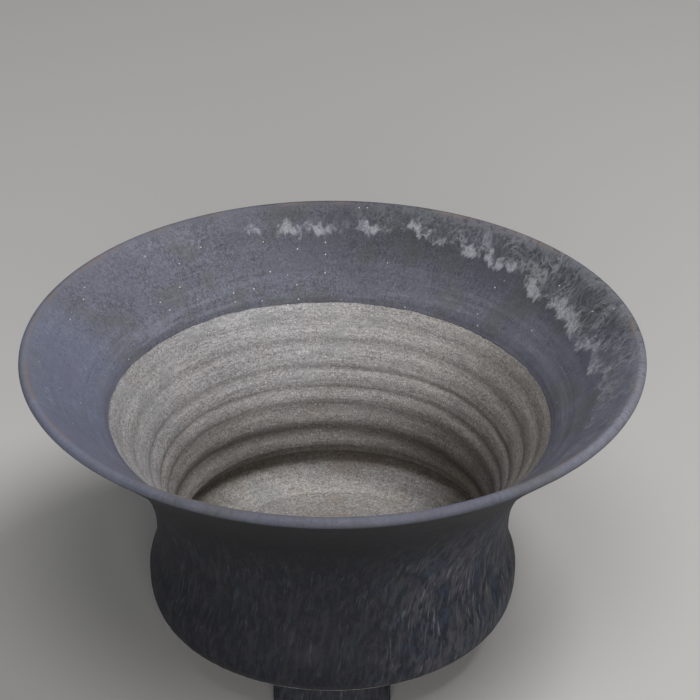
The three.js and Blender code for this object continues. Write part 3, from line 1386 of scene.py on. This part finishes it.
def dressed(name: str, mesh: bmesh.types.BMesh, material: bpy.types.Material) -> bpy.types.Object:
    """Makes an object of a finished mesh.

    Args:
        name: The object's name.
        mesh: The mesh, which is freed.
        material: Its finish.

    Returns:
        The object.
    """
    data = bpy.data.meshes.new(name)
    mesh.to_mesh(data)
    mesh.free()
    data.materials.append(material)
    return placed(name, data)


def settle(piece: bpy.types.Object, node: str, slot: Slot) -> bpy.types.Object:
    """Makes an object a piece of the pot.

    Args:
        piece: The object.
        node: The solid that it stands for.
        slot: Not used.

    Returns:
        The piece, riding on the pot.
    """
    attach(piece, BODY)
    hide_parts(node)
    return piece


@dataclass
class TurnedPiece:
    """A ring of clay turned from a closed outline about the pot's axis.

    The inner faces' distances along the outline start at inner_along, which only sets where the
    patterns fall on them.
    """

    shape: PotShape
    wobble: HandWobble
    weather: Weathering = Weathering()
    name: str = ""
    node: str = ""
    slot: Slot = Slot.DARK_SLIP
    steps: int = 480
    inner_along: float = 0.0

    @property
    def levels(self) -> Levels:
        """The heights and radii that the pieces share."""
        return self.shape.levels

    def outline(self) -> list[Run]:
        """Gives the closed outline as smooth runs with flat faces between them."""
        raise NotImplementedError

    def mark(self, bearing: float, place: Vector, along: float, skin: Skin) -> dict[str, float]:
        """Gives what the work left at a point.

        Args:
            bearing: Angle from the back, in radians.
            place: The point on the smooth piece.
            along: Distance along the outline.
            skin: The kind of surface.

        Returns:
            The lift of the surface, and the numbers that the vertex carries.
        """
        raise NotImplementedError

    def _spun(self) -> bmesh.types.BMesh:
        """Turns the outline into a closed ring, with the layers filled in.

        Returns:
            The mesh, still smooth.
        """
        mesh = bmesh.new()
        layers = {name: mesh.verts.layers.float.new(name) for name in TURNED_LAYERS}
        ring = []
        corner = 0
        for run in self.outline():
            last = len(run.points) - 1
            rows = zip(run.points, run.skins, run.leans(), run.distances())
            for i, (point, skin, lean, distance) in enumerate(rows):
                vert = mesh.verts.new((point.x, 0.0, point.y))
                vert[layers["along"]] = distance
                vert[layers["lean_out"]] = lean.x
                vert[layers["lean_up"]] = lean.y
                vert[layers["skin"]] = skin.value
                if i in (0, last):
                    corner += 1
                    vert[layers["corner"]] = corner
                ring.append(vert)
        edges = [mesh.edges.new(pair) for pair in zip(ring, ring[1:] + ring[:1])]
        bmesh.ops.spin(
            mesh, geom=ring + edges, cent=(0, 0, 0), axis=(0, 0, 1), dvec=(0, 0, 0),
            angle=math.tau, steps=self.steps, use_merge=True, use_duplicate=False)
        bmesh.ops.recalc_face_normals(mesh, faces=mesh.faces)
        return mesh

    def _pressed(self, mesh: bmesh.types.BMesh) -> None:
        """Presses the marks of the work into the mesh and marks its square corners."""
        for name in MARK_LAYERS:
            mesh.verts.layers.float.new(name)
        layers = {name: mesh.verts.layers.float[name] for name in (*TURNED_LAYERS, *MARK_LAYERS)}
        for vert in mesh.verts:
            # Rounded, so that what is kept for a bearing serves all of its vertices.
            bearing = round(math.atan2(vert.co.x, vert.co.y), 5)
            skin = Skin(round(vert[layers["skin"]]))
            marks = self.mark(bearing, vert.co, vert[layers["along"]], skin)
            lift = marks.pop("lift")
            for name, amount in marks.items():
                vert[layers[name]] = amount
            outward = Vector((vert.co.x, vert.co.y, 0)).normalized()
            lean = outward * vert[layers["lean_out"]]
            lean.z = vert[layers["lean_up"]]
            vert.co += lean * lift + self.wobble.shift(vert.co)
        for edge in mesh.edges:
            first, second = (round(vert[layers["corner"]]) for vert in edge.verts)
            edge.smooth = not (first and first == second)
        for face in mesh.faces:
            face.smooth = True

    def build(self, material: bpy.types.Material) -> bpy.types.Object:
        """Makes the piece and hides the solid that it stands for.

        Args:
            material: The piece's finish.

        Returns:
            The piece.
        """
        mesh = self._spun()
        self._pressed(mesh)
        for name in MESH_ONLY:
            mesh.verts.layers.float.remove(mesh.verts.layers.float[name])
        return settle(dressed(self.name, mesh, material), self.node, self.slot)


@dataclass
class FlaredCollar(TurnedPiece):
    """The thrown trumpet: ledge, ridged bare wall, glazed flare, lip and outside.

    The marks and the bead on the ledge start at heights above the seam.
    """

    name: str = "thrown_collar"
    node: str = "flared_collar"
    spiral: ThrowingSpiral = ThrowingSpiral()
    glaze: GlazeLine = GlazeLine()
    bloom: Bloom = Bloom()
    ledge_round: float = 0.0015
    ledge_steps: int = 5
    marks_start: Span = (0.0012, 0.006)
    bead_start: Span = (0.0, 0.0010)
    bead_lift: float = 0.0010
    bead_rise: float = 0.0016
    bead_half: float = 0.0040
    outside_spacing: float = 0.0032
    neck_spacing: float = 0.0013
    neck_reach: float = 0.024
    flare_spacing: float = 0.0019
    wall_spacing: float = 0.00075
    edge_spacing: float = 0.0003
    edge_reach: float = 0.0015
    lip_along: float = field(init=False)

    def __post_init__(self) -> None:
        """Measures how far the lip is from the glaze's edge."""
        self.lip_along = self.shape.lip_along()

    def outline(self) -> list[Run]:
        """Gives the collar's outline, from the outside corner of the seam all the way round.

        Returns:
            One run, closed by the flat face that stands on the drum.
        """
        shape, seam = self.shape, self.levels.seam
        _, outer = cut_at(shape.outside(), seam)
        neck, outer_flare = cut_at(outer, seam + self.neck_reach)
        wall, flare = cut_at(shape.inside(), shape.glaze_height)
        wall_low, wall_edge = cut_at(wall, shape.glaze_height - self.edge_reach)
        flare_edge, flare_high = cut_at(flare, shape.glaze_height + self.edge_reach)
        throat = wall[0]
        corner = Vector((throat.x + self.ledge_round, seam + self.ledge_round))
        ledge = arc(corner, self.ledge_round, 180, 270, self.ledge_steps)

        run = Run(shape.along_outside(seam))
        run.add(evenly(neck, self.neck_spacing), Skin.OUTSIDE)
        run.add(evenly(outer_flare, self.outside_spacing), Skin.OUTSIDE)
        run.add(shape.bead(), Skin.LIP)
        run.add(evenly(flare_high, self.flare_spacing)[::-1], Skin.FLARE)
        run.add(evenly(flare_edge, self.edge_spacing)[::-1], Skin.FLARE)
        run.add(evenly(wall_edge, self.edge_spacing)[::-1], Skin.WALL)
        run.add(evenly(wall_low, self.wall_spacing)[::-1], Skin.WALL)
        run.add(evenly([throat, ledge[0]], self.wall_spacing), Skin.WALL)
        run.add(ledge, Skin.WALL)
        return [run]

    def mark(self, bearing: float, place: Vector, along: float, skin: Skin) -> dict[str, float]:
        """Gives the throwing marks, the glaze's edge and the bloom at a point."""
        glazed_by = along - self.glaze.rise(bearing)
        lift, groove = 0.0, 0.0
        if skin in (Skin.WALL, Skin.FLARE):
            rise = place.z - self.levels.seam
            fading = smooth_step(rise, *self.marks_start)
            proud, shade = self.spiral.mark(bearing, place.z)
            groove = shade * fading
            off_bead = (rise - self.bead_rise) / self.bead_half
            bead = smooth_step(rise, *self.bead_start) * math.exp(-(off_bead ** 2))
            lift = proud * fading + self.bead_lift * bead
            if skin is Skin.FLARE or glazed_by > 0:
                lift += self.glaze.step(glazed_by)
        if skin is Skin.OUTSIDE:
            lift = self.weather.outside_lift(bearing, place.z)
        below_lip = self.lip_along - along
        return {
            "lift": lift,
            "groove": groove,
            # How deep in a throwing groove the point lies, which the clay paints as shade.
            "glaze_side": glazed_by,
            # Painted shade on the bare wall, and on the slip by the lip at the back right.
            "painted_shade": self.weather.painted_shade_inside(bearing, place.z),
            "painted_flare_shade": self.weather.painted_flare_shading(bearing, place.z),
            "dusting": self.weather.dusting(bearing),
            "combing_and_painted_light": self.weather.combing_and_painted_light(bearing, place.z),
            "bloom_drop": self.bloom.drop(bearing) - below_lip,
            "bloom_power": self.bloom.power(bearing),
            "bloom_frost": self.bloom.frost(bearing),
        }


@dataclass
class BodyDrum(TurnedPiece):
    """The short bulged wall between the slab and the collar."""

    name: str = "thrown_drum"
    node: str = "body_drum"
    spacing: float = 0.0016
    inner_along: float = -0.07
    # Painted shade on the inside, under the ledge.
    painted_shade: float = 0.85

    def outline(self) -> list[Run]:
        """Gives an outer and an inner run, with the two flat seam faces between them."""
        levels = self.levels
        _, above_slab = cut_at(self.shape.outside(), levels.floor_top)
        outer, _ = cut_at(above_slab, levels.seam)
        outer = evenly(outer, self.spacing)
        wall = Vector((self.shape.drum_wall, 0))
        outside = Run(self.shape.along_outside(levels.floor_top))
        outside.add(outer, Skin.OUTSIDE)
        inside = Run(self.inner_along)
        inside.add([point - wall for point in reversed(outer)], Skin.WALL)
        return [outside, inside]

    def mark(self, bearing: float, place: Vector, along: float, skin: Skin) -> dict[str, float]:
        """Gives the scraped outside, and the plain inside with its painted shade."""
        if skin is Skin.WALL:
            return {"lift": 0.0, "glaze_side": ALL_CLAY, "painted_shade": self.painted_shade}
        return {"lift": self.weather.outside_lift(bearing, place.z), "glaze_side": ALL_GLAZE,
                "combing_and_painted_light": self.weather.combing_and_painted_light(bearing, place.z)}


@dataclass
class SeamCoil(TurnedPiece):
    """The small coil of clay pressed up under the collar's ledge."""

    name: str = "pressed_seam_coil"
    node: str = "seam_coil"
    slot: Slot = Slot.BARE_CLAY
    round_over: float = 0.0011
    round_steps: int = 6
    top_angle: float = 110.0
    press: float = 0.00022
    pressed_in: float = 0.0003
    inner_along: float = -0.066
    # Painted shade on the coil, which lies under the ledge.
    painted_shade: float = 0.7

    def outline(self) -> list[Run]:
        """Gives the coil's soft front, closed by its flat top and its hidden back."""
        low, top = self.levels.seam_coil_low, self.levels.seam
        soft, steps = self.round_over, self.round_steps
        middle = self.levels.seam_coil_front + soft
        front = Run(self.inner_along)
        front.add(arc(Vector((middle, top - soft)), soft, self.top_angle, 180, steps), Skin.COIL)
        front.add(arc(Vector((middle, low + soft)), soft, 180, 270, steps), Skin.COIL)
        front.points[0].y = top
        back = Run(0.0)
        for height, skin in ((low, Skin.HIDDEN), (top, Skin.COIL)):
            back.add([Vector((self.shape.drum_inside(height) + self.pressed_in, height))], skin)
        return [front, back]

    def mark(self, bearing: float, place: Vector, along: float, skin: Skin) -> dict[str, float]:
        """Gives the small dents where the coil was pressed home."""
        dent = self.press * turned_noise(bearing, place.z, 13, 160)
        return {"lift": 0.0 if skin is Skin.HIDDEN else dent, "painted_shade": self.painted_shade}


@dataclass
class CornerCoil(TurnedPiece):
    """The coil smoothed into the corner between the floor and the drum.

    The finger's strokes fade out at its two ends, given as shares of its height.
    """

    name: str = "smoothed_corner_coil"
    node: str = "corner_coil"
    slot: Slot = Slot.BARE_CLAY
    feather: float = 0.00004
    steep_pull: float = 0.26
    floor_pull: float = 0.38
    press: float = 0.00035
    low_end: Span = (0.03, 0.2)
    high_end: Span = (1.0, 0.85)
    pressed_in: float = 0.0003
    spacing: float = 0.0009
    back_steps: int = 6
    inner_along: float = -0.085
    # Painted shade: the top of the coil under the ledge, and its two sides, which the walls
    # shadow.
    painted_shade: tuple[Fade, ...] = (
        Fade(0.95, (), ((0.0343, 0.0366),)),
        Fade(0.85, ((30, 60),)),
        Fade(0.85, ((-30, -60),)),
    )

    def outline(self) -> list[Run]:
        """Gives the hollow face, feathered out at both edges, and the hidden back."""
        levels, inside = self.levels, self.shape.drum_inside
        low, top = levels.floor_top, levels.coil_top
        pull = self.steep_pull * (top - low)
        high = Vector((inside(top) - self.feather, top))
        along_wall = Vector((inside(top - pull), top - pull)) - Vector((inside(top), top))
        toe = Vector((levels.coil_toe, low + self.feather))
        flat_pull = Vector((self.floor_pull * (top - low), 0))
        hollow = cubic(high, high + along_wall, toe + flat_pull, toe)
        face = Run(self.inner_along)
        face.add(evenly(hollow, self.spacing), Skin.COIL)
        face.add([Vector((levels.coil_toe, low))], Skin.COIL)
        steps = self.back_steps
        rises = [low + (top - low) * i / steps for i in range(steps + 1)]
        back = Run(0.0)
        back.add([Vector((inside(z) + self.pressed_in, z)) for z in rises], Skin.HIDDEN)
        return [face, back]

    def mark(self, bearing: float, place: Vector, along: float, skin: Skin) -> dict[str, float]:
        """Gives the strokes of the finger that smoothed the coil down."""
        if skin is Skin.HIDDEN:
            return {"lift": 0.0}
        rise = (place.z - self.levels.floor_top) / (self.levels.coil_top - self.levels.floor_top)
        weight = smooth_step(rise, *self.low_end) * smooth_step(rise, *self.high_end)
        strokes = turned_noise(bearing, place.z, 9, 110)
        strokes += 0.5 * turned_noise(bearing, place.z, 3, 420)
        painted_shade = max(fade.at(bearing, place.z) for fade in self.painted_shade)
        return {"lift": self.press * weight * strokes, "painted_shade": painted_shade}


@dataclass
class BaseSlab(TurnedPiece):
    """The thick floor of the pot, with its heel, its drain hole and the trimmed underside.

    The floor's rings fade out at distances from the hole's edge and from the coil's toe.
    """

    name: str = "trimmed_base_slab"
    node: str = "base_slab"
    slot: Slot = Slot.BARE_CLAY
    drain_radius: float = 0.013
    drain_round: float = 0.0015
    round_steps: int = 5
    wipe_height: float = 0.0022
    wipe_waver: float = 0.0006
    ring_pitch: float = 0.0065
    ring_depth: float = 0.00016
    from_hole: Span = (0.003, 0.007)
    from_toe: Span = (-0.001, -0.006)
    outside_spacing: float = 0.0009
    flat_spacing: float = 0.0016
    under_spacing: float = 0.006
    inner_along: float = -0.105
    # Painted shade on the sides of the floor, which the walls shadow; the floor is also darker all
    # over and towards the drain.
    painted_shade: tuple[Fade, ...] = (
        Fade(0.10),
        Fade(0.28, (), ((0.056, 0.040),)),
        Fade(0.28, ((20, 70),)),
        Fade(0.28, ((-20, -70),)),
    )

    def outline(self) -> list[Run]:
        """Gives the outside, then the floor, the hole and the underside in one run."""
        levels, soft, steps = self.levels, self.drain_round, self.round_steps
        middle = self.drain_radius + soft
        upper = arc(Vector((middle, levels.floor_top - soft)), soft, 90, 180, steps)
        lower = arc(Vector((middle, levels.slab_under + soft)), soft, 180, 270, steps)
        heel, _ = cut_at(self.shape.outside(), levels.floor_top)
        outside = Run(self.shape.along_outside(levels.slab_under))
        outside.add(evenly(heel, self.outside_spacing), Skin.OUTSIDE)
        floor = [Vector((levels.coil_toe, levels.floor_top)), upper[0]]
        inner = Run(self.inner_along)
        inner.add(evenly(floor, self.flat_spacing), Skin.FLOOR)
        inner.add(upper, Skin.FLOOR)
        inner.add(evenly([upper[-1], lower[0]], self.flat_spacing), Skin.FLOOR)
        inner.add(lower, Skin.UNDERSIDE)
        under = evenly([lower[-1], outside.points[0]], self.under_spacing)
        inner.add(under[:-1], Skin.UNDERSIDE)
        return [outside, inner]

    def _rings(self, bearing: float, radius: float) -> float:
        """Gives the turned rings on the floor at a bearing, in radians, and a radius."""
        flat = smooth_step(radius - self.drain_radius, *self.from_hole)
        flat *= smooth_step(radius - self.levels.coil_toe, *self.from_toe)
        rings = math.cos(math.tau * radius / self.ring_pitch + bearing)
        return self.ring_depth * flat * (rings + turned_noise(bearing, radius, 5, 90))

    def mark(self, bearing: float, place: Vector, along: float, skin: Skin) -> dict[str, float]:
        """Gives the wiped edge of the glaze at the heel, and the rings on the floor."""
        if skin is Skin.OUTSIDE:
            wiped = self.wipe_height + self.wipe_waver * turned_noise(bearing, 0.3, 7, 1)
            return {"lift": self.weather.outside_lift(bearing, place.z),
                    "glaze_side": place.z - self.levels.slab_under - wiped,
                    "combing_and_painted_light": self.weather.combing_and_painted_light(bearing, place.z)}
        radius = place.xy.length
        lift = self._rings(bearing, radius) if skin is Skin.FLOOR else 0.0
        painted_shade = sum(fade.at(bearing, radius) for fade in self.painted_shade)
        return {"lift": lift, "glaze_side": ALL_CLAY, "painted_shade": painted_shade}


@dataclass
class PotFoot:
    """One of the three feet: a short arc of clay luted under the heel."""

    levels: Levels
    number: int
    bearing: float
    width: float = 0.015
    length: float = 0.048
    inset: float = 0.0005
    arc_steps: int = 16
    end_round: float = 0.0069
    end_steps: int = 8
    sole_round: float = 0.002
    sole_steps: int = 4
    square: float = math.radians(45)
    sole_height: float = 1e-5
    level_normal: float = 0.999
    along_at_top: float = 0.2
    wipe_height: float = 0.0028
    wipe_waver: float = 0.0007
    wavers_each_metre: float = 180.0
    # The feet's share of the comb's strokes and their painted light.
    combing_and_painted_light: float = 0.3

    def _block(self) -> bmesh.types.BMesh:
        """Sweeps the foot's upright section along its arc, with square ends.

        Returns:
            The block, centred on the front.
        """
        mesh = bmesh.new()
        outer = self.levels.heel_radius - self.inset
        half_turn = self.length / 2 / (outer - self.width / 2)
        start = -math.pi / 2 - half_turn
        toward = Vector((math.cos(start), math.sin(start), 0))
        top = Vector((0, 0, self.levels.slab_under))
        section = [mesh.verts.new(co) for co in (
            toward * (outer - self.width), toward * outer,
            toward * outer + top, toward * (outer - self.width) + top)]
        face = mesh.faces.new(section)
        bmesh.ops.spin(
            mesh, geom=[face, *face.edges, *section], cent=(0, 0, 0), axis=(0, 0, 1),
            dvec=(0, 0, 0), angle=2 * half_turn, steps=self.arc_steps, use_merge=False,
            use_normal_flip=True, use_duplicate=False)
        bmesh.ops.recalc_face_normals(mesh, faces=mesh.faces)
        return mesh

    def _stands(self, edge: bmesh.types.BMEdge) -> bool:
        """Tells whether an edge is one of the upright ones."""
        return abs(edge.verts[0].co.z - edge.verts[1].co.z) > self.sole_round

    def _on_sole(self, edge: bmesh.types.BMEdge) -> bool:
        """Tells whether an edge lies on the sole."""
        return all(vert.co.z < self.sole_height for vert in edge.verts)

    def _round_off(self, mesh: bmesh.types.BMesh, chosen: Callable[[bmesh.types.BMEdge], bool],
                   radius: float, steps: int) -> None:
        """Rounds the square edges that are chosen.

        Args:
            mesh: The block.
            chosen: Tells whether an edge is rounded.
            radius: How far the round reaches from the edge.
            steps: Its number of facets.
        """
        edges = [edge for edge in mesh.edges
                 if chosen(edge) and edge.calc_face_angle(0.0) > self.square]
        bmesh.ops.bevel(
            mesh, geom=edges, offset=radius, offset_type="OFFSET", segments=steps,
            profile=0.5, affect="EDGES", material=-1)

    def build(self, material: bpy.types.Material) -> bpy.types.Object:
        """Makes the foot.

        Args:
            material: The foot's finish.

        Returns:
            The foot.
        """
        mesh = self._block()
        self._round_off(mesh, self._stands, self.end_round, self.end_steps)
        self._round_off(mesh, self._on_sole, self.sole_round, self.sole_steps)
        bmesh.ops.rotate(
            mesh, verts=mesh.verts, cent=(0, 0, 0), matrix=Euler((0, 0, self.bearing)).to_matrix())
        layers = {name: mesh.verts.layers.float.new(name)
                  for name in ("along", "glaze_side", "bloom_drop", "combing_and_painted_light")}
        for vert in mesh.verts:
            waver = noise.noise(vert.co * self.wavers_each_metre)
            wiped = self.wipe_height + self.wipe_waver * waver
            vert[layers["glaze_side"]] = vert.co.z - wiped
            vert[layers["along"]] = self.along_at_top + self.levels.slab_under - vert.co.z
            vert[layers["bloom_drop"]] = NO_BLOOM
            vert[layers["combing_and_painted_light"]] = self.combing_and_painted_light
        for face in mesh.faces:
            face.smooth = abs(face.normal.z) < self.level_normal
        foot = dressed(f"luted_foot_{self.number}", mesh, material)
        return settle(foot, f"foot_{self.number}", Slot.DARK_SLIP)


@dataclass(frozen=True)
class Softbox:
    """A round soft light that faces the pot, with its power in watts."""

    name: str
    place: tuple[float, float, float]
    power: float
    colour: Colour
    size: float = 0.8
    aim: tuple[float, float, float] = (0.0, 0.0, 0.08)

    def hang(self) -> None:
        """Hangs the light in its place."""
        data = bpy.data.lights.new(self.name, "AREA")
        data.shape = "DISK"
        data.size = self.size
        data.energy = self.power
        data.color = self.colour
        lamp = placed(self.name, data)
        lamp.location = self.place
        sight = Vector(self.aim) - Vector(self.place)
        lamp.rotation_euler = sight.to_track_quat("-Z", "Y").to_euler()


@dataclass(frozen=True)
class Studio:
    """A pale floor, soft lights and the camera at the photograph's angle."""

    camera_place: tuple[float, float, float] = (0.00718, -0.93023, 0.68729)
    looking_down: float = 30.64
    roll: float = 0.176
    focal_pixels: float = 2600.0
    frame_pixels: float = 700.0
    sensor: float = 36.0
    nearest: float = 0.05
    farthest: float = 60.0
    floor_radius: float = 14.0
    floor_sides: int = 96
    floor_colour: Colour = (0.50, 0.495, 0.485)
    sky_colour: Colour = (0.93, 0.96, 1.0)
    sky_strength: float = 0.14
    softboxes: tuple[Softbox, ...] = (
        Softbox("right_softbox", (0.674, 0.0, 1.749), 18.0, (1.0, 0.99, 0.975)),
        Softbox("overhead_softbox", (0.0, -0.674, 1.749), 8.5, (1.0, 0.99, 0.98)),
        Softbox("front_softbox", (0.0, -1.669, 0.754), 13.0, (1.0, 0.985, 0.965)),
    )

    def _floor(self) -> None:
        """Lays the plain pale floor."""
        mesh = bmesh.new()
        bmesh.ops.create_circle(
            mesh, cap_ends=True, segments=self.floor_sides, radius=self.floor_radius)
        pale = Sheet("pale_floor").coat({"Base Color": self.floor_colour, "Roughness": 0.9})
        dressed("pale_floor", mesh, pale)

    def _sky(self) -> None:
        """Fills the surroundings with even light."""
        world = bpy.data.worlds.new("soft_surroundings")
        world.use_nodes = True
        background = world.node_tree.nodes["Background"]
        background.inputs["Color"].default_value = (*self.sky_colour, 1.0)
        background.inputs["Strength"].default_value = self.sky_strength
        bpy.context.scene.world = world

    def _camera(self) -> None:
        """Sets the camera where the photograph was taken from."""
        data = bpy.data.cameras.new("photo_view")
        data.sensor_width = self.sensor
        data.lens = self.focal_pixels / self.frame_pixels * self.sensor
        data.clip_start = self.nearest
        data.clip_end = self.farthest
        camera = placed("photo_view", data)
        camera.location = self.camera_place
        turn = Euler((math.radians(90 - self.looking_down), 0, 0)).to_matrix()
        turn = turn @ Euler((0, 0, math.radians(self.roll))).to_matrix()
        camera.rotation_euler = turn.to_euler()
        bpy.context.scene.camera = camera

    def build(self) -> None:
        """Sets up the whole studio."""
        self._floor()
        for softbox in self.softboxes:
            softbox.hang()
        self._sky()
        self._camera()
        bpy.context.scene.view_settings.view_transform = "Standard"


def report(piece: bpy.types.Object) -> None:
    """Logs a piece's size."""
    triangles = sum(len(polygon.vertices) - 2 for polygon in piece.data.polygons)
    log.info("%s: %d triangles", piece.name, triangles)


def main() -> None:
    """Builds the studio and the pot, piece by piece."""
    logging.basicConfig(level=logging.INFO, format="%(name)s %(message)s")
    Studio().build()
    levels = Levels.from_frame()
    shape = PotShape(levels)
    wobble = HandWobble(levels.seam, levels.rim_top)
    glazed = SlipOverClay(DarkSlip(shape.along_lip_edge())).material()
    bare = ClayOnly().material()
    turned = (
        (FlaredCollar, glazed),
        (BodyDrum, glazed),
        (SeamCoil, bare),
        (CornerCoil, bare),
        (BaseSlab, glazed),
    )
    for kind, finish in turned:
        report(kind(shape, wobble).build(finish))
    foot_count = 3
    for number in range(foot_count):
        foot = PotFoot(levels, number + 1, math.tau * number / foot_count)
        report(foot.build(glazed))


if __name__ == "__main__":
    main()
